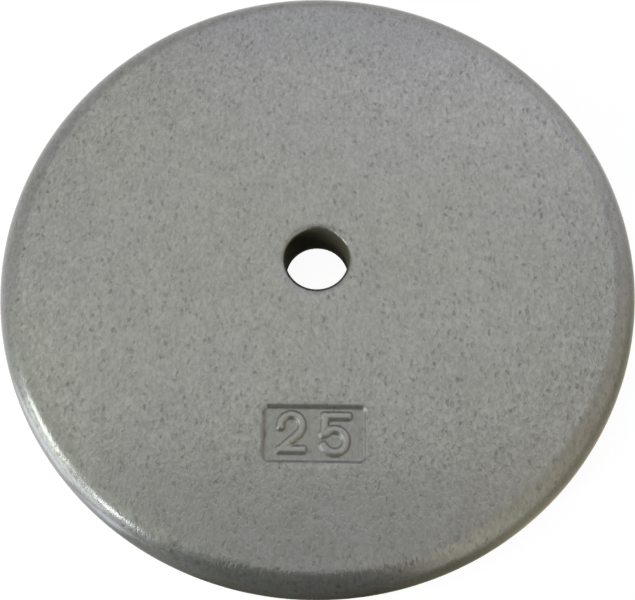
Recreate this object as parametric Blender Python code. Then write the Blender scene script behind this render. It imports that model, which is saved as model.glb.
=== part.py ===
"""A cast iron barbell plate for a one inch bar, marked as a 25 pound plate.

The real plate is one grey iron casting with baked hammered enamel. It lies on
its back face, with the bore upright on the Z axis and the number panel
towards -Y. All sizes are in metres.
"""

import math

import bmesh
import bpy

# The disc
PLATE_DIAMETER = 0.288
PLATE_THICKNESS = 0.0254
SHOULDER_RADIUS = 0.012
PARTING_BELT = 0.0008

# The bore, a plain cored hole that a bar passes through
BAR_DIAMETER = 0.0254
BAR_CLEARANCE = 0.0026
BORE_DRAFT = math.radians(1.1)
BORE_MOUTH_RADIUS = 0.0012

# The number panel, a shallow pocket with drafted walls in the front face
PANEL_FROM_AXIS = 0.0782
PANEL_LENGTH = 0.043
PANEL_HEIGHT = 0.0233
PANEL_DEPTH = 0.0014
PANEL_CORNER_RADIUS = 0.0022
PANEL_WALL_DRAFT = math.radians(38)
PANEL_EDGE_RADIUS = 0.0006
PANEL_FLOOR_RADIUS = 0.0005
PANEL_CUTTER_LIFT = 0.0003

# Facets
TURNED_SEGMENTS = 120
SHOULDER_STEPS = 9
MOUTH_STEPS = 3
CORNER_STEPS = 5
PANEL_EDGE_STEPS = 3
SHARP_ANGLE = math.radians(30)

# The enamel, a light grey that has run over every face
ENAMEL_COLOUR = (0.31, 0.31, 0.29, 1.0)
ENAMEL_METALLIC = 0.2
ENAMEL_ROUGHNESS = 0.42


def clear_scene():
    """Removes whatever the file opened with."""
    for old in list(bpy.data.objects):
        bpy.data.objects.remove(old)


def enamel():
    """The hammered grey enamel that covers the casting."""
    material = bpy.data.materials.new("hammered_enamel")
    material.use_nodes = True
    shader = material.node_tree.nodes["Principled BSDF"]
    shader.inputs["Base Color"].default_value = ENAMEL_COLOUR
    shader.inputs["Metallic"].default_value = ENAMEL_METALLIC
    shader.inputs["Roughness"].default_value = ENAMEL_ROUGHNESS
    material.diffuse_color = ENAMEL_COLOUR
    return material


def arc(centre_x, centre_y, radius, start, end, steps):
    """Points of a circle's arc in a plane, with both ends."""
    points = []
    for step in range(steps + 1):
        angle = start + (end - start) * step / steps
        points.append((centre_x + radius * math.cos(angle), centre_y + radius * math.sin(angle)))
    return points


def plate_profile():
    """The closed half section of the disc, as (distance from the axis, height).

    It runs down the outer side from the front face to the back face, then up
    the bore. Both shoulders and both bore mouths are arcs that meet their
    faces smoothly.
    """
    rim = PLATE_DIAMETER / 2
    shoulder = min(SHOULDER_RADIUS, (PLATE_THICKNESS - PARTING_BELT) / 2)
    bore = (BAR_DIAMETER + BAR_CLEARANCE) / 2
    bore_at_back = bore + PLATE_THICKNESS * math.tan(BORE_DRAFT)
    mouth = min(BORE_MOUTH_RADIUS, PLATE_THICKNESS / 4)
    quarter = math.pi / 2

    front = PLATE_THICKNESS
    profile = arc(rim - shoulder, front - shoulder, shoulder, quarter, 0, SHOULDER_STEPS)
    profile += arc(rim - shoulder, shoulder, shoulder, 0, -quarter, SHOULDER_STEPS)
    profile += arc(bore_at_back + mouth, mouth, mouth, -quarter, -math.pi, MOUTH_STEPS)
    profile += arc(bore + mouth, front - mouth, mouth, math.pi, quarter, MOUTH_STEPS)
    return profile


def turned(name, profile, segments):
    """A mesh object made by spinning a closed section once round the Z axis."""
    shape = bmesh.new()
    corners = [shape.verts.new((distance, 0, height)) for distance, height in profile]
    section = list(corners)
    for first, second in zip(corners, corners[1:] + corners[:1]):
        section.append(shape.edges.new((first, second)))
    bmesh.ops.spin(
        shape,
        geom=section,
        cent=(0, 0, 0),
        axis=(0, 0, 1),
        angle=2 * math.pi,
        steps=segments,
        use_merge=True,
    )
    bmesh.ops.recalc_face_normals(shape, faces=shape.faces)
    return placed(name, shape)


def placed(name, shape):
    """Turns a bmesh into an object of the scene."""
    mesh = bpy.data.meshes.new(name)
    shape.to_mesh(mesh)
    shape.free()
    made = bpy.data.objects.new(name, mesh)
    bpy.context.scene.collection.objects.link(made)
    return made


def rounded_rectangle(length, height, corner, steps):
    """The outline of a rectangle with round corners, centred on the origin."""
    outline = []
    for turn in range(4):
        side_x = 1 if turn in (0, 3) else -1
        side_y = 1 if turn in (0, 1) else -1
        start = turn * math.pi / 2
        outline += arc(
            side_x * (length / 2 - corner),
            side_y * (height / 2 - corner),
            corner,
            start,
            start + math.pi / 2,
            steps,
        )
    return outline


def panel_wall():
    """The pocket's wall in section, as (inset from the nominal outline, depth).

    The mouth is rounded over, the wall leans by its draft, and a small radius
    joins it to the floor. The first point lies above the face, so that the
    cutter passes through the face on a slope.
    """
    lean = PANEL_WALL_DRAFT
    quarter = math.pi / 2
    edge = arc(-PANEL_EDGE_RADIUS, PANEL_EDGE_RADIUS, PANEL_EDGE_RADIUS, -quarter, -lean, PANEL_EDGE_STEPS)
    floor_fillet = min(PANEL_FLOOR_RADIUS, PANEL_DEPTH / 4)
    floor_start = arc(0, PANEL_DEPTH - floor_fillet, floor_fillet, math.pi - lean, quarter, PANEL_EDGE_STEPS)
    edge_end = edge[-1]
    fillet_top = floor_start[0]
    shift = edge_end[0] + (fillet_top[1] - edge_end[1]) * math.tan(lean) - fillet_top[0]
    wall = edge + [(inset + shift, depth) for inset, depth in floor_start]

    first, second = wall[0], wall[1]
    run = (second[0] - first[0]) / (second[1] - first[1])
    lifted = (first[0] - PANEL_CUTTER_LIFT * run, first[1] - PANEL_CUTTER_LIFT)
    return [lifted] + wall[1:]


def panel_cutter():
    """The closed shape that the number panel's pocket leaves in the face."""
    shape = bmesh.new()
    rings = []
    for inset, depth in panel_wall():
        outline = rounded_rectangle(
            PANEL_LENGTH - 2 * inset,
            PANEL_HEIGHT - 2 * inset,
            max(PANEL_CORNER_RADIUS - inset, PANEL_CORNER_RADIUS / 4),
            CORNER_STEPS,
        )
        height = PLATE_THICKNESS - depth
        rings.append([shape.verts.new((x, y - PANEL_FROM_AXIS, height)) for x, y in outline])
    for upper, lower in zip(rings, rings[1:]):
        count = len(upper)
        for place in range(count):
            beside = (place + 1) % count
            shape.faces.new((upper[place], upper[beside], lower[beside], lower[place]))
    shape.faces.new(rings[0])
    shape.faces.new(rings[-1])
    bmesh.ops.recalc_face_normals(shape, faces=shape.faces)
    cutter = placed("panel_cutter", shape)
    cutter.hide_render = True
    cutter.display_type = "WIRE"
    return cutter


clear_scene()
plate = turned("plate", plate_profile(), TURNED_SEGMENTS)
plate.data.materials.append(enamel())
panel = plate.modifiers.new("number_panel", "BOOLEAN")
panel.operation = "DIFFERENCE"
panel.solver = "EXACT"
panel.object = panel_cutter()
plate.data.shade_smooth()
plate.data.set_sharp_from_angle(angle=SHARP_ANGLE)
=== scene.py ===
import math

import bpy
from mathutils import Matrix, Vector


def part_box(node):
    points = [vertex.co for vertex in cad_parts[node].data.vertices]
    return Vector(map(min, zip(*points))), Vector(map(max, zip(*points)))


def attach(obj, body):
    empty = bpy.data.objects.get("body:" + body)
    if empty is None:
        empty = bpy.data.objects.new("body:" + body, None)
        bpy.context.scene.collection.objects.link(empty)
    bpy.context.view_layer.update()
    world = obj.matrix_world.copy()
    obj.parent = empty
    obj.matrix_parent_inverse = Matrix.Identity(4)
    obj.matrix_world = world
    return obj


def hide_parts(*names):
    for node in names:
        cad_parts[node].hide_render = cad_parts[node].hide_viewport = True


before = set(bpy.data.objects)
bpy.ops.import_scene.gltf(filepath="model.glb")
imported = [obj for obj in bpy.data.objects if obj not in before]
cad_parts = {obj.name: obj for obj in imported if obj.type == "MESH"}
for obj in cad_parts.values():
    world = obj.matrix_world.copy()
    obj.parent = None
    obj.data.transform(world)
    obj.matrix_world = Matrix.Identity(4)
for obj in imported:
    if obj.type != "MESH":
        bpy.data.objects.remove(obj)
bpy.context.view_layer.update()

# The view. The plate lies on its back face and is seen from above and a little in front,
# with the number panel nearest. Lengths in this file are written in millimetres.
MM = 0.001
FRONT_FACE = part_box("plate")[1].z / MM
VIEW_DISTANCE = 373.65
VIEW_ELEVATION = math.radians(71.5)
VIEW_TURN = math.radians(1.6)
VIEW_ROLL = math.radians(-0.93)
VIEW_AIM_IN_FRONT = 19.47
NEAREST_SEEN = 10.0
LENS = 48.32

turn = Matrix.Rotation(VIEW_TURN, 3, "Z")
aim = turn @ Vector((0, -VIEW_AIM_IN_FRONT, 0)) + Vector((0, 0, FRONT_FACE))
looking = turn @ Matrix.Rotation(math.pi / 2 - VIEW_ELEVATION, 3, "X")
eye = (aim + looking @ Vector((0, 0, VIEW_DISTANCE))) * MM
looking_rolled = looking @ Matrix.Rotation(VIEW_ROLL, 3, "Z")
camera = bpy.data.objects.new("camera", bpy.data.cameras.new("camera"))
bpy.context.scene.collection.objects.link(camera)
camera.data.lens = LENS
camera.data.clip_start = NEAREST_SEEN * MM
camera.matrix_world = Matrix.Translation(eye) @ looking_rolled.to_4x4()
bpy.context.scene.camera = camera

# The raised number on the pattern, 25 for the plate's weight in pounds. It is part of the
# casting. These flat ribbons are the crowns of its strokes, and the casting gives them
# their height and their sloping sides. Places are from the middle of the panel.
CROWN_HALF_WIDTH = 0.5
ARC_STEPS = 20
TWO_BOWL = (-9.75, 3.6)
TWO_RADIUS = 4.6
TWO_FOOT = -6.5
FIVE_BOWL = (8.5, -2.7)
FIVE_RADIUS = 4.8
FIVE_TAIL_RADIUS = 5.4
FIVE_TAIL = (FIVE_BOWL[0], FIVE_BOWL[1] + FIVE_TAIL_RADIUS - FIVE_RADIUS)


def stroke_arc(centre, radius, start, end):
    """Points along a round stretch of a stroke, with the angles in degrees."""
    points = []
    for step in range(ARC_STEPS + 1):
        angle = math.radians(start + (end - start) * step / ARC_STEPS)
        points.append(Vector(centre) + radius * Vector((math.cos(angle), math.sin(angle))))
    return points


def stroke_line(*places):
    return [Vector(place) for place in places]


def ribbon(points):
    """The corners and faces of a flat ribbon that runs along the points."""
    edges = []
    for step, middle in enumerate(points):
        before = points[max(step - 1, 0)]
        after = points[min(step + 1, len(points) - 1)]
        along = (after - before).normalized()
        side = Vector((-along.y, along.x)) * CROWN_HALF_WIDTH
        edges += [middle + side, middle - side]
    faces = [(two, two + 1, two + 3, two + 2) for two in range(0, len(edges) - 2, 2)]
    return edges, faces


STROKES = [
    stroke_arc(TWO_BOWL, TWO_RADIUS, 192, -48) + stroke_line((-14.2, TWO_FOOT - 0.1)),
    stroke_line((-14.9, TWO_FOOT), (-4.4, TWO_FOOT)),
    stroke_line((3.7, 7.7), (14.6, 7.7)),
    stroke_line((4.5, 8.0), (4.1, -0.2)),
    stroke_line((3.2, -0.1), (5.1, 0.6)),
    stroke_arc(FIVE_BOWL, FIVE_RADIUS, 138, -90),
    stroke_arc(FIVE_TAIL, FIVE_TAIL_RADIUS, 270, 203),
]

number = bpy.data.meshes.new("number")
number_corners = []
number_faces = []
for stroke in STROKES:
    stroke_edges, stroke_faces = ribbon(stroke)
    first = len(number_corners)
    number_corners += [(spot.x * MM, spot.y * MM, 0) for spot in stroke_edges]
    number_faces += [tuple(first + corner for corner in face) for face in stroke_faces]
number.from_pydata(number_corners, [], number_faces)

# The plate itself: one grey iron sand casting, split at the middle of its rim. A section
# with rolled shoulders is swept once round the bore. The number panel is sunk into the
# front face, and the whole skin keeps the faint waves of the sand.
RIM_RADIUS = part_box("plate")[1].x / MM
SHOULDER_RADIUS = 12.0
BORE_RADIUS = 14.0
BORE_RADIUS_AT_BACK = 14.49
BORE_MOUTH_RADIUS = 1.2
PANEL_FROM_AXIS = 78.2
PANEL_LENGTH = 43.0
PANEL_HEIGHT = 23.3
PANEL_DEPTH = 1.45
PANEL_CORNER = 2.4
PANEL_EDGE = 1.1
PANEL_WALL = 1.2
PANEL_ROUNDING = 1.25
NUMBER_HEIGHT = 1.35
NUMBER_FLANK = 1.65
NUMBER_ROUNDING = 1.85
NUMBER_FOOT = 0.12
SKIN_WAVE = 0.11
WAVE_LENGTH = 4.5
WAVE_DETAIL = 2.0
ROUND_SEGMENTS = 720
FACE_RINGS = 44
SHOULDER_RINGS = 32
OTHER_RINGS = 42
ALL_RINGS = FACE_RINGS + SHOULDER_RINGS + OTHER_RINGS
CORNER_STEPS = 24
WELD_REACH = 0.001

casting_tree = bpy.data.node_groups.new("casting", "GeometryNodeTree")
SIZES = {
    "Rim Radius": RIM_RADIUS,
    "Thickness": FRONT_FACE,
    "Shoulder Radius": SHOULDER_RADIUS,
    "Bore Radius": BORE_RADIUS,
    "Bore Radius at Back": BORE_RADIUS_AT_BACK,
    "Mouth Radius": BORE_MOUTH_RADIUS,
    "Panel from Axis": PANEL_FROM_AXIS,
    "Panel Length": PANEL_LENGTH,
    "Panel Height": PANEL_HEIGHT,
    "Panel Depth": PANEL_DEPTH,
    "Panel Corner": PANEL_CORNER,
    "Panel Edge": PANEL_EDGE,
    "Panel Wall": PANEL_WALL,
    "Number Height": NUMBER_HEIGHT,
    "Skin Wave": SKIN_WAVE,
    "Wave Length": WAVE_LENGTH,
}
ports = casting_tree.interface
ports.new_socket("Number", in_out="INPUT", socket_type="NodeSocketGeometry")
ports.new_socket("Casting", in_out="OUTPUT", socket_type="NodeSocketGeometry")
sockets = {}
for size_name in SIZES:
    sockets[size_name] = ports.new_socket(size_name, in_out="INPUT", socket_type="NodeSocketFloat")
sockets["Enamel"] = ports.new_socket("Enamel", in_out="INPUT", socket_type="NodeSocketMaterial")


class Wire:
    """One output of a node. Sums on wires add the nodes that work them out."""

    def __init__(self, tree, socket):
        self.tree = tree
        self.socket = socket

    def math(self, operation, *values):
        return add_node(self.tree, "ShaderNodeMath", {"operation": operation}, dict(enumerate(values)))

    def __add__(self, other):
        return self.math("ADD", self, other)

    def __sub__(self, other):
        return self.math("SUBTRACT", self, other)

    def __rsub__(self, other):
        return self.math("SUBTRACT", other, self)

    def __mul__(self, other):
        return self.math("MULTIPLY", self, other)

    def __truediv__(self, other):
        return self.math("DIVIDE", self, other)

    def __rtruediv__(self, other):
        return self.math("DIVIDE", other, self)

    def __pow__(self, other):
        return self.math("POWER", self, other)

    def __abs__(self):
        return self.math("ABSOLUTE", self)

    __radd__ = __add__
    __rmul__ = __mul__

    def root(self):
        return self.math("SQRT", self)

    def cosine(self):
        return self.math("COSINE", self)

    def sine(self):
        return self.math("SINE", self)

    def at_least(self, other):
        return self.math("MAXIMUM", self, other)

    def at_most(self, other):
        return self.math("MINIMUM", self, other)

    def ease(self, start, end, first=0.0, last=1.0):
        """Runs smoothly from first to last as this value runs from start to end."""
        ends = {"Value": self, "From Min": start, "From Max": end, "To Min": first, "To Max": last}
        return add_node(self.tree, "ShaderNodeMapRange", {"interpolation_type": "SMOOTHSTEP"}, ends)


def add_node(tree, kind, settings=None, inputs=None, output=0):
    """Adds a node of any kind: its settings first, then the values or wires of its inputs."""
    made = tree.nodes.new(kind)
    for name, value in (settings or {}).items():
        setattr(made, name, value)
    for name, value in (inputs or {}).items():
        for one in value if isinstance(value, list) else [value]:
            if isinstance(one, Wire):
                tree.links.new(one.socket, made.inputs[name])
            else:
                made.inputs[name].default_value = one
    return Wire(tree, made.outputs[output])


def casting_node(kind, settings=None, inputs=None, output=0):
    return add_node(casting_tree, kind, settings, inputs, output)


def point(x, y, z):
    return casting_node("ShaderNodeCombineXYZ", None, {"X": x, "Y": y, "Z": z})


def parts_of(vector):
    """The x, y and z of a vector, as wires."""
    made = add_node(vector.tree, "ShaderNodeSeparateXYZ", None, {0: vector}).socket.node
    return [Wire(vector.tree, output) for output in made.outputs]


def welded(geometry):
    return casting_node(
        "GeometryNodeMergeByDistance", None, {"Geometry": geometry, "Distance": WELD_REACH * MM}
    )


tree_input = casting_tree.nodes.new("NodeGroupInput")
given = {socket.name: Wire(casting_tree, socket) for socket in tree_input.outputs if socket.name}
rim = given["Rim Radius"] * MM
bore = given["Bore Radius"] * MM
bore_at_back = given["Bore Radius at Back"] * MM
front = given["Thickness"] * MM
shoulder = given["Shoulder Radius"] * MM
mouth = given["Mouth Radius"] * MM

# The section, a loop of four rounded corners, with x away from the axis. The corners are
# numbered from 0 at the bore's front mouth, and 1 and 2 are the shoulders at the rim.
sharp_loop = casting_node(
    "GeometryNodeCurvePrimitiveQuadrilateral",
    {"mode": "POINTS"},
    {
        "Point 1": point(bore, front, 0.0),
        "Point 2": point(rim, front, 0.0),
        "Point 3": point(rim, 0.0, 0.0),
        "Point 4": point(bore_at_back, 0.0, 0.0),
    },
)
corner_number = casting_node("GeometryNodeInputIndex")
at_rim = casting_node(
    "FunctionNodeCompare",
    {"data_type": "FLOAT", "operation": "LESS_THAN"},
    {"A": abs(corner_number - 1.5), "B": 1.0},
)
corner_radius = casting_node(
    "GeometryNodeSwitch", {"input_type": "FLOAT"}, {"Switch": at_rim, "False": mouth, "True": shoulder}
)
section = casting_node(
    "GeometryNodeFilletCurve",
    {"mode": "POLY"},
    {"Curve": sharp_loop, "Count": CORNER_STEPS, "Radius": corner_radius, "Limit Radius": True},
)

# The sweep. One side of a sheet of cells follows the section and the other goes round the
# axis. The rings are shared out so that the face, the shoulder and the rest get their own.
sheet = casting_node(
    "GeometryNodeMeshGrid",
    None,
    {
        "Size X": 1.0,
        "Size Y": 1.0,
        "Vertices X": ALL_RINGS + 1,
        "Vertices Y": ROUND_SEGMENTS + 1,
    },
)
sheet_x, sheet_y = parts_of(casting_node("GeometryNodeInputPosition"))[:2]
way_round = (sheet_y + 0.5) * (2 * math.pi)
ring = (sheet_x + 0.5) * float(ALL_RINGS)
section_length = casting_node("GeometryNodeCurveLength", None, {"Curve": section})
face_length = rim - bore - shoulder - mouth * (2 - math.pi / 2)
shoulder_length = shoulder * (math.pi / 2)
face_part = (ring / float(FACE_RINGS)).at_most(1.0)
shoulder_part = ((ring - float(FACE_RINGS)) / float(SHOULDER_RINGS)).at_least(0.0).at_most(1.0)
other_part = ((ring - float(FACE_RINGS + SHOULDER_RINGS)) / float(OTHER_RINGS)).at_least(0.0)
run = face_part * face_length + shoulder_part * shoulder_length
run = run + other_part * (section_length - face_length - shoulder_length)
on_section = casting_node(
    "GeometryNodeSampleCurve",
    {"mode": "LENGTH", "use_all_curves": False},
    {"Curves": section, "Length": run},
    output=1,
)
section_x, section_y = parts_of(on_section)[:2]
swept_place = point(section_x * way_round.cosine(), section_x * way_round.sine(), section_y)
disc = welded(casting_node("GeometryNodeSetPosition", None, {"Geometry": sheet, "Position": swept_place}))

# The panel's pocket, as the block that fills it: its underside is the sunk floor with the
# number. The seams are two faint upright lines in that floor. Each is given as its place
# across the panel, its low end and its high end.
PANEL_CELL = 0.3
PANEL_BORDER = 2.0
PANEL_LIFT = 0.004
BORDER_SLOPE = 0.2
BLOCK_HEIGHT = 4.0
SEAM_DEPTH = 0.16
SEAM_WIDTH = 0.5
SEAMS = [(-14.0, -11.6, -8.6), (18.8, -9.5, 3.0)]
panel_length = given["Panel Length"] * MM
panel_height = given["Panel Height"] * MM
panel_depth = given["Panel Depth"] * MM
panel_corner = given["Panel Corner"] * MM
panel_edge = given["Panel Edge"] * MM
panel_wall = given["Panel Wall"] * MM
cells = casting_node(
    "GeometryNodeMeshGrid",
    None,
    {
        "Size X": panel_length + 2 * PANEL_BORDER * MM,
        "Size Y": panel_height + 2 * PANEL_BORDER * MM,
        "Vertices X": round((PANEL_LENGTH + 2 * PANEL_BORDER) / PANEL_CELL),
        "Vertices Y": round((PANEL_HEIGHT + 2 * PANEL_BORDER) / PANEL_CELL),
    },
)
cell_x, cell_y = parts_of(casting_node("GeometryNodeInputPosition"))[:2]
past_x = abs(cell_x) - panel_length * 0.5 + panel_corner
past_y = abs(cell_y) - panel_height * 0.5 + panel_corner
past_corner = point(past_x.at_least(0.0), past_y.at_least(0.0), 0.0)
length_past = casting_node("ShaderNodeVectorMath", {"operation": "LENGTH"}, {0: past_corner}, output=1)
outside = length_past + past_x.at_least(past_y).at_most(0.0) - panel_corner
sunk = outside.ease(panel_edge, 0 - panel_wall, 0.0, 1.0) ** PANEL_ROUNDING
from_crown = casting_node(
    "GeometryNodeProximity", {"target_element": "FACES"}, {"Target": given["Number"]}, output=1
)
down_flank = (from_crown / (NUMBER_FLANK * MM)).at_most(1.0)
raised = 1 - down_flank ** NUMBER_ROUNDING
raised = raised * raised / (raised + NUMBER_FOOT) * (1 + NUMBER_FOOT)
rise = raised * given["Number Height"] * MM - sunk * panel_depth
for seam_x, seam_low, seam_high in SEAMS:
    past_seam = abs(cell_y - (seam_low + seam_high) / 2 * MM) - (seam_high - seam_low) / 2 * MM
    from_seam = abs(cell_x - seam_x * MM).at_least(past_seam)
    rise = rise - from_seam.ease(0.0, SEAM_WIDTH * MM, SEAM_DEPTH * MM, 0.0) * (1 - raised)
rise = rise + PANEL_LIFT * MM + (outside - panel_edge).at_least(0.0) * BORDER_SLOPE
panel_place = point(0.0, 0 - given["Panel from Axis"] * MM, front + rise)
panel_floor = casting_node("GeometryNodeSetPosition", None, {"Geometry": cells, "Offset": panel_place})
risen = casting_node(
    "GeometryNodeExtrudeMesh",
    {"mode": "FACES"},
    {"Mesh": panel_floor, "Offset": (0, 0, 1), "Offset Scale": BLOCK_HEIGHT * MM, "Individual": False},
)
underside = casting_node("GeometryNodeFlipFaces", None, {"Mesh": panel_floor})
block = welded(casting_node("GeometryNodeJoinGeometry", None, {"Geometry": [risen, underside]}))
sunken = casting_node(
    "GeometryNodeMeshBoolean",
    {"operation": "DIFFERENCE", "solver": "EXACT"},
    {"Mesh 1": disc, "Mesh 2": block},
)

# The skin: sand and enamel leave slow waves a few hundredths of a millimetre deep.
waves = casting_node(
    "ShaderNodeTexNoise", None, {"Scale": 1 / (given["Wave Length"] * MM), "Detail": WAVE_DETAIL}
)
depth = waves * given["Skin Wave"] * MM
inwards = casting_node(
    "ShaderNodeVectorMath",
    {"operation": "SCALE"},
    {0: casting_node("GeometryNodeInputNormal"), "Scale": 0 - depth},
)
skin = casting_node("GeometryNodeSetPosition", None, {"Geometry": sunken, "Offset": inwards})
smooth = casting_node("GeometryNodeSetShadeSmooth", None, {"Geometry": skin})
whole = casting_node("GeometryNodeRealizeInstances", None, {"Geometry": smooth})
enamelled = casting_node(
    "GeometryNodeSetMaterial", None, {"Geometry": whole, "Material": given["Enamel"]}
)
tree_output = casting_tree.nodes.new("NodeGroupOutput")
casting_tree.links.new(enamelled.socket, tree_output.inputs[0])

# Hammered enamel, sprayed and baked. Each dimple is painted a darker fleck, partly because the
# flake gathers between the dimples and partly as painted shade in the dimple, and the grain's
# crests are painted lighter, partly flake and partly painted highlight. It runs smoother over
# the shoulders, is duller in the panel, where its sunk floor is painted darker as painted
# shade, and is only a thin dull film in the cored bore.
ENAMEL_GREY = (0.325, 0.326, 0.309, 1)
ENAMEL_LILAC = (0.325, 0.322, 0.315, 1)
# The fleck grey is what all darkening blends toward: the dimple flecks, partly painted shade, the random
# blotches, and the painted shade on the panel's sunk floor.
FLECK_AND_SHADE_GREY = (0.12, 0.12, 0.11, 1)
# The flake grey lightens the grain's crests: partly flake, partly a painted highlight for glints.
FLAKE_AND_GLINT_GREY = (0.52, 0.52, 0.49, 1)
BORE_OLIVE = (0.13, 0.124, 0.088, 1)
ENAMEL_ROUGHNESS = 0.17
ENAMEL_METALLIC = 0.35
CLEAR_COAT = 0.2
CLEAR_COAT_ROUGHNESS = 0.1
TONE_SPACING = 45.0
TONE_DETAIL = 3.0
TONE_CHANGE = (0.42, 0.6)
BLOTCH_SPACING = 7.0
BLOTCH_CHANGE = (0.35, 0.65)
BLOTCH_DARKNESS = 0.1

# The flecks and the finer grain between them. Each fleck is dark out to a share of the
# spacing, and its luck, a number from 0 to 1, decides how dark it is.
FLECK_SPACING = 2.4
FLECK_STRETCH = 1.55
FLECK_REACH = (0.1, 0.43)
FLECK_LUCK = (0.15, 0.9)
FLECK_FAINTEST = 0.38
FLECK_STRONGEST = 1.08
FLECK_SHARE = 0.88
# How dark the dimple flecks are painted: partly flake, partly painted shade in the dimple.
FLECK_AND_SHADE_DARKNESS = 0.53
FLECK_ROUGHNESS = 0.12
FLECK_DEPTH = 0.08
WANDER_SPACING = FLECK_SPACING / 1.3
WANDER_REACH = 2.8
GRAIN_SPACING = 1.6
GRAIN_DETAIL = 1.5
GRAIN_RAGGEDNESS = 0.7
GRAIN_DIP = (0.34, 0.62)
GRAIN_SHARE = 0.47
# Where the grain's crests are painted lighter, and how much: partly flake, partly painted highlight.
GRAIN_CREST_GLINT = (0.58, 0.74)
CREST_GLINT_BRIGHTNESS = 0.16

# Where the coat changes: over the shoulders by distance from the axis, in the panel by
# distance outside its edge and, for its painted shade, by height, and at the mouths of the bore.
FLAT_REACH = RIM_RADIUS - SHOULDER_RADIUS
SHOULDER_START = (FLAT_REACH, FLAT_REACH + 6.0)
SHOULDER_ROUGHNESS = 0.085
SHOULDER_SMOOTHING = 0.6
SHOULDER_THINNING = (FLAT_REACH + 5.0, FLAT_REACH + 11.5)
SHOULDER_FLECKS = 0.6
PANEL_THINNING = (-2.0, 0.5)
PANEL_FLECKS = 0.5
PANEL_DULL_EDGE = (0.8, 2.2)
PANEL_ROUGHNESS = 0.22
# Painted shade: the panel's sunk floor is painted darker, fading out 0.5 mm below the face.
PANEL_SHADE_DEPTHS = (FRONT_FACE - PANEL_DEPTH, FRONT_FACE - 0.5)
PANEL_SHADE_DARKNESS = 0.2
BORE_FILM_EDGE = (BORE_RADIUS_AT_BACK, BORE_RADIUS_AT_BACK + 1.0)
BORE_FILM_ROUGHNESS = 0.9
BORE_FILM_SHINE = 0.05

enamel = bpy.data.materials.new("hammered_enamel")
enamel.use_nodes = True
enamel_tree = enamel.node_tree
shader = enamel_tree.nodes["Principled BSDF"]


def paint(kind, settings=None, inputs=None, output=0):
    return add_node(enamel_tree, kind, settings, inputs, output)


def blend_colours(first, second, share):
    return paint("ShaderNodeMix", {"data_type": "RGBA"}, {6: first, 7: second, 0: share}, output=2)


def patchwork(where, spacing, detail=1.0, raggedness=0.0, output=0):
    """Soft random patches about one spacing apart."""
    looks = {"Vector": where, "Scale": 1 / spacing, "Detail": detail, "Distortion": raggedness}
    return paint("ShaderNodeTexNoise", None, looks, output)


on_plate = paint("ShaderNodeTexCoord", output="Object")
in_mm = paint("ShaderNodeVectorMath", {"operation": "SCALE"}, {0: on_plate, "Scale": 1 / MM})
stretched = paint(
    "ShaderNodeMapping", {"vector_type": "POINT"}, {0: in_mm, "Scale": (1, 1 / FLECK_STRETCH, 1)}
)
grain = patchwork(stretched, GRAIN_SPACING, GRAIN_DETAIL, GRAIN_RAGGEDNESS)
wander = patchwork(stretched, WANDER_SPACING, output="Color")
wandered = paint(
    "ShaderNodeVectorMath",
    {"operation": "MULTIPLY_ADD"},
    {0: wander, 1: (WANDER_REACH, WANDER_REACH, WANDER_REACH), 2: stretched},
)
from_fleck = paint("ShaderNodeTexVoronoi", None, {"Vector": wandered, "Scale": 1 / FLECK_SPACING})
fleck_colour = Wire(enamel_tree, from_fleck.socket.node.outputs["Color"])
luck = paint("ShaderNodeSeparateColor", None, {0: fleck_colour})
dot = from_fleck.ease(*FLECK_REACH, 1.0, 0.0) * luck.ease(*FLECK_LUCK, FLECK_FAINTEST, FLECK_STRONGEST)
dimple = dot * FLECK_SHARE + grain.ease(*GRAIN_DIP, 1.0, 0.0) * GRAIN_SHARE

plate_x, plate_y, plate_z = parts_of(in_mm)
from_axis = (plate_x * plate_x + plate_y * plate_y).root()
past_panel_side = abs(plate_x) - PANEL_LENGTH / 2
past_panel_end = abs(plate_y + PANEL_FROM_AXIS) - PANEL_HEIGHT / 2
past_panel = past_panel_side.at_least(past_panel_end)
rolled = from_axis.ease(*SHOULDER_START)
in_panel = past_panel.ease(*PANEL_DULL_EDGE, 1.0, 0.0)
# Painted shade on the panel's sunk floor.
panel_shade = in_panel * plate_z.ease(*PANEL_SHADE_DEPTHS, 1.0, 0.0)
in_bore = from_axis.ease(*BORE_FILM_EDGE, 1.0, 0.0)
flake = from_axis.ease(*SHOULDER_THINNING, 1.0, SHOULDER_FLECKS)
flake = flake * past_panel.ease(*PANEL_THINNING, PANEL_FLECKS, 1.0)
fleck = dimple * flake
# Lighter crests: partly flake, partly painted highlight.
crest_glint = grain.ease(*GRAIN_CREST_GLINT) * flake

tone_patches = patchwork(in_mm, TONE_SPACING, TONE_DETAIL).ease(*TONE_CHANGE)
blotches = patchwork(stretched, BLOTCH_SPACING).ease(*BLOTCH_CHANGE, 0.0, BLOTCH_DARKNESS) * flake
tone = blend_colours(ENAMEL_GREY, ENAMEL_LILAC, tone_patches)
with_crest_glints = blend_colours(tone, FLAKE_AND_GLINT_GREY, crest_glint * CREST_GLINT_BRIGHTNESS)
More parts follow.
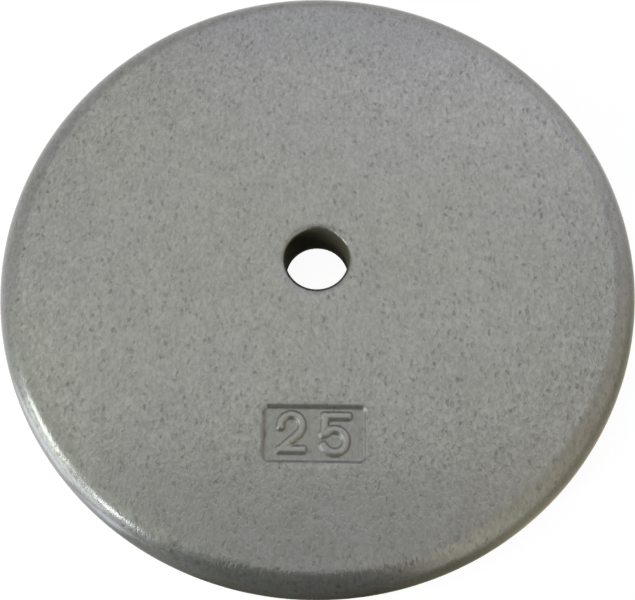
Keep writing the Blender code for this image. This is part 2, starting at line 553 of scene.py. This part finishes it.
# All the darkening: dimple flecks, partly painted shade, random blotches, and the panel floor's painted
# shade.
fleck_and_shade_darkness = fleck * FLECK_AND_SHADE_DARKNESS + blotches + panel_shade * PANEL_SHADE_DARKNESS
colour = blend_colours(with_crest_glints, FLECK_AND_SHADE_GREY, fleck_and_shade_darkness)
height = (1 - dimple * (1 - rolled * SHOULDER_SMOOTHING)) * FLECK_DEPTH * MM
bump = paint("ShaderNodeBump", None, {"Height": height, "Distance": 1.0, "Strength": 1.0})
roughness = ENAMEL_ROUGHNESS + rolled * SHOULDER_ROUGHNESS + (1 - rolled) * fleck * FLECK_ROUGHNESS
roughness = roughness + in_panel * PANEL_ROUGHNESS
enamel_tree.links.new(colour.socket, shader.inputs["Base Color"])
enamel_tree.links.new(bump.socket, shader.inputs["Normal"])
enamel_tree.links.new(roughness.socket, shader.inputs["Roughness"])
shader.inputs["Metallic"].default_value = ENAMEL_METALLIC
shader.inputs["Coat Weight"].default_value = CLEAR_COAT
shader.inputs["Coat Roughness"].default_value = CLEAR_COAT_ROUGHNESS
film = paint(
    "ShaderNodeBsdfPrincipled",
    None,
    {"Base Color": BORE_OLIVE, "Roughness": BORE_FILM_ROUGHNESS, "Specular IOR Level": BORE_FILM_SHINE},
)
coats = paint("ShaderNodeMixShader", None, {0: in_bore, 1: Wire(enamel_tree, shader.outputs[0]), 2: film})
enamel_tree.links.new(coats.socket, enamel_tree.nodes["Material Output"].inputs["Surface"])

pattern = bpy.data.objects.new("pattern", number)
bpy.context.scene.collection.objects.link(pattern)
sweep = pattern.modifiers.new("casting", "NODES")
sweep.node_group = casting_tree
for size_name, size in SIZES.items():
    sweep[sockets[size_name].identifier] = size
sweep[sockets["Enamel"].identifier] = enamel
graph = bpy.context.evaluated_depsgraph_get()
casting_mesh = bpy.data.meshes.new_from_object(pattern.evaluated_get(graph))
bpy.data.objects.remove(pattern)
casting = bpy.data.objects.new("plate_casting", casting_mesh)
bpy.context.scene.collection.objects.link(casting)

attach(casting, "root")
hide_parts("plate")

# The floor, a wide pale sheet that the plate lies on. The camera and the enamel's gloss see
# it white, with the plate's faint shadow on it, and it sends little light back up.
FLOOR_REACH = 4000.0
FLOOR_GREY = (0.2, 0.2, 0.2, 1)
FLOOR_GLOW = 0.95


def flat_sheet(name, rows, material):
    """A sheet of cells between rows of points."""
    mesh = bpy.data.meshes.new(name)
    row_length = len(rows[0])
    faces = []
    for row in range(len(rows) - 1):
        for column in range(row_length - 1):
            corner = row * row_length + column
            faces.append((corner, corner + 1, corner + row_length + 1, corner + row_length))
    mesh.from_pydata([Vector(spot) * MM for row in rows for spot in row], [], faces)
    mesh.materials.append(material)
    made = bpy.data.objects.new(name, mesh)
    bpy.context.scene.collection.objects.link(made)
    return made


def seen_directly(tree):
    """Is 1 for what the camera sees, alone, in a gloss or through glass, and 0 for other light."""
    path = add_node(tree, "ShaderNodeLightPath").socket.node
    camera_ray = Wire(tree, path.outputs["Is Camera Ray"])
    glossy_ray = Wire(tree, path.outputs["Is Glossy Ray"])
    return camera_ray.at_least(glossy_ray).at_least(Wire(tree, path.outputs["Is Transmission Ray"]))


def stage_material(name):
    """A material with no shader yet, and its tree."""
    made = bpy.data.materials.new(name)
    made.use_nodes = True
    made.node_tree.nodes.remove(made.node_tree.nodes["Principled BSDF"])
    return made, made.node_tree


pale, pale_tree = stage_material("floor_sheet")
matt = add_node(pale_tree, "ShaderNodeBsdfDiffuse", None, {"Color": FLOOR_GREY})
glow = add_node(pale_tree, "ShaderNodeEmission", None, {"Color": (1, 1, 1, 1), "Strength": FLOOR_GLOW})
white = add_node(pale_tree, "ShaderNodeAddShader", None, {0: matt, 1: glow})
floor_look = add_node(
    pale_tree, "ShaderNodeMixShader", None, {0: seen_directly(pale_tree), 1: matt, 2: white}
)
pale_tree.links.new(floor_look.socket, pale_tree.nodes["Material Output"].inputs["Surface"])
floor_ends = (-FLOOR_REACH, FLOOR_REACH)
flat_sheet("floor", [[(x, y, 0) for x in floor_ends] for y in floor_ends], pale)

# The room. It is white all round, but dark in front, with a brown wall and floor on the
# right and a grey wall beyond. Two bent cards stand for what the enamel mirrors there. They
# give their own light, which fades at their edges, and only gloss sees them.
WALL_REACH = 1450.0
WALL_FADE = (62, 84)
WALL_FOOT = 14
WALL_STEP = 2
GREY_WALL = (0.5, 0.48, 0.47)
GREY_WALL_TURNS = (8, 36, 58, 96)
GREY_WALL_FADE = (28, 46)
CARD_LIFT = 0.8
FLOOR_REACHES = [149, 165, 180, 200, 225, 260, 310, 370, 430, 500, 700, 1000, 1450]
GLARE_EDGE = 4.0
GLARE_NEAR_EDGE = 30.0
GLARE_FAR_EDGE = 60.0
ROOM_GLOW = 0.96

# A stop is a turn round the plate in degrees, then the light there. A glare is a bright
# strip of floor in front of a window: its turns, its reaches and its light.
WALL_STOPS = [
    (-146, (1.0, 1.0, 1.0)),
    (-114, (0.0, 0.0, 0.0)),
    (-75, (0.0, 0.0, 0.0)),
    (-54, (1.62, 1.54, 1.29)),
    (-42, (1.46, 1.38, 1.15)),
    (-24, (1.15, 1.05, 0.82)),
    (4, (1.15, 1.06, 0.86)),
    (26, (1.0, 1.0, 1.0)),
    (130, (1.0, 1.0, 1.0)),
]
FLOOR_STOPS = [
    (-170, (1.0, 1.0, 1.0)),
    (-140, (0.95, 0.95, 0.95)),
    (-120, (0.35, 0.34, 0.33)),
    (-106, (0.045, 0.035, 0.0)),
    (-83, (0.045, 0.035, 0.0)),
    (-65, (0.32, 0.29, 0.19)),
    (-48, (0.78, 0.71, 0.52)),
    (-8, (0.66, 0.61, 0.46)),
    (26, (1.0, 1.0, 1.0)),
]
GLARES = [
    ((-162, -139), (165, 490), (3.1, 3.2, 3.5)),
    ((-138, -126), (165, 490), (2.6, 2.75, 3.3)),
]


def way_to(turn_angle, rise_angle):
    """A unit vector at an angle round the plate and an angle above the floor, in degrees."""
    turned_by = math.radians(turn_angle)
    raised_by = math.radians(rise_angle)
    level = math.cos(raised_by)
    return Vector((level * math.cos(turned_by), level * math.sin(turned_by), math.sin(raised_by)))


def eased(start, end, value):
    share = min(1.0, max(0.0, (value - start) / (end - start)))
    return share * share * (3 - 2 * share)


def light_at(stops, turn_angle):
    light = Vector(stops[0][1])
    for (first_turn, first_light), (last_turn, last_light) in zip(stops, stops[1:]):
        light = light.lerp(Vector(last_light), eased(first_turn, last_turn, turn_angle))
    return light


def wall_light(turn_angle, rise_angle):
    above_foot = eased(0, WALL_FOOT, rise_angle)
    light = light_at(FLOOR_STOPS, turn_angle).lerp(light_at(WALL_STOPS, turn_angle), above_foot)
    start, full, last, end = GREY_WALL_TURNS
    grey_share = eased(start, full, turn_angle) * eased(end, last, turn_angle)
    grey_share *= above_foot * (1 - eased(*GREY_WALL_FADE, rise_angle))
    light += Vector(GREY_WALL) * grey_share
    return light.lerp(Vector((1, 1, 1)), eased(*WALL_FADE, rise_angle))


def floor_light(turn_angle, reach):
    light = light_at(FLOOR_STOPS, turn_angle)
    for (first_turn, last_turn), (near, far), glare in GLARES:
        share = min(
            eased(first_turn, first_turn + GLARE_EDGE, turn_angle),
            eased(last_turn, last_turn - GLARE_EDGE, turn_angle),
            eased(near, near + GLARE_NEAR_EDGE, reach),
            eased(far, far - GLARE_FAR_EDGE, reach),
        )
        light = light.lerp(Vector(glare), share)
    return light


def card(name, rows, lights):
    """A sheet that gives at each of its points the light listed for it."""
    surface, surface_tree = stage_material(name)
    given_light = add_node(surface_tree, "ShaderNodeAttribute", {"attribute_name": "light"}, output="Color")
    lit = add_node(surface_tree, "ShaderNodeEmission", None, {"Color": given_light, "Strength": 1.0})
    surface_tree.links.new(lit.socket, surface_tree.nodes["Material Output"].inputs["Surface"])
    made = flat_sheet(name, rows, surface)
    shade = made.data.color_attributes.new("light", "FLOAT_COLOR", "POINT")
    for corner, light in zip(shade.data, lights):
        corner.color = (*light, 1.0)
    made.visible_camera = False
    made.visible_diffuse = False
    made.visible_shadow = False


wall_turns = range(WALL_STOPS[0][0], WALL_STOPS[-1][0] + 1, WALL_STEP)
wall_rises = range(0, WALL_FADE[1] + 1, WALL_STEP)
wall_rows = [[way_to(angle, rise_angle) * WALL_REACH for angle in wall_turns] for rise_angle in wall_rises]
wall_lights = [wall_light(angle, rise_angle) for rise_angle in wall_rises for angle in wall_turns]
card("mirrored_wall", wall_rows, wall_lights)

floor_turns = range(FLOOR_STOPS[0][0], FLOOR_STOPS[-1][0] + 1)
lift = Vector((0, 0, CARD_LIFT))
floor_rows = [[way_to(angle, 0) * reach + lift for angle in floor_turns] for reach in FLOOR_REACHES]
floor_lights = [floor_light(angle, reach) for reach in FLOOR_REACHES for angle in floor_turns]
card("mirrored_floor", floor_rows, floor_lights)

world = bpy.data.worlds.new("room")
bpy.context.scene.world = world
world.use_nodes = True
backdrop = world.node_tree.nodes["Background"]
backdrop.inputs["Color"].default_value = (1, 1, 1, 1)
room_glow = seen_directly(world.node_tree) * ROOM_GLOW
world.node_tree.links.new(room_glow.socket, backdrop.inputs["Strength"])

# The light: two wide soft lamps above and behind, three for a pale wall on the left, and its
# two windows. Each row is a name, the way to it and its rise in degrees, its width and
# height, and the light that its surface gives, as red, green and blue.
LAMP_DISTANCE = 1300.0
LAMPS = [
    ("ceiling", 90, 69, 1300, 800, (0.705, 0.715, 0.635)),
    ("back_wall", 72, 43, 1300, 650, (0.395, 0.385, 0.58)),
    ("left_wall", -158, 50, 1500, 1150, (0.45, 0.49, 0.37)),
    ("left_wall_middle", -158, 50, 1000, 800, (0.33, 0.32, 0.22)),
    ("left_low", -155, 8, 700, 350, (2.85, 3.05, 3.05)),
    ("far_window", -163.5, 26, 300, 290, (9.2, 9.6, 9.1)),
    ("near_window", -141, 28, 145, 300, (11.4, 12.0, 13.2)),
]
for lamp_name, lamp_turn, lamp_rise, width, tall, light in LAMPS:
    lamp_data = bpy.data.lights.new(lamp_name, "AREA")
    lamp_data.shape = "RECTANGLE"
    lamp_data.size = width * MM
    lamp_data.size_y = tall * MM
    brightest = max(light)
    lamp_data.color = [part / brightest for part in light]
    lamp_data.energy = math.pi * lamp_data.size * lamp_data.size_y * brightest
    lamp = bpy.data.objects.new(lamp_name, lamp_data)
    bpy.context.scene.collection.objects.link(lamp)
    lamp.location = way_to(lamp_turn, lamp_rise) * LAMP_DISTANCE * MM
    lamp.rotation_euler = (-lamp.location).to_track_quat("-Z", "Y").to_euler()
bpy.context.scene.view_settings.view_transform = "Standard"
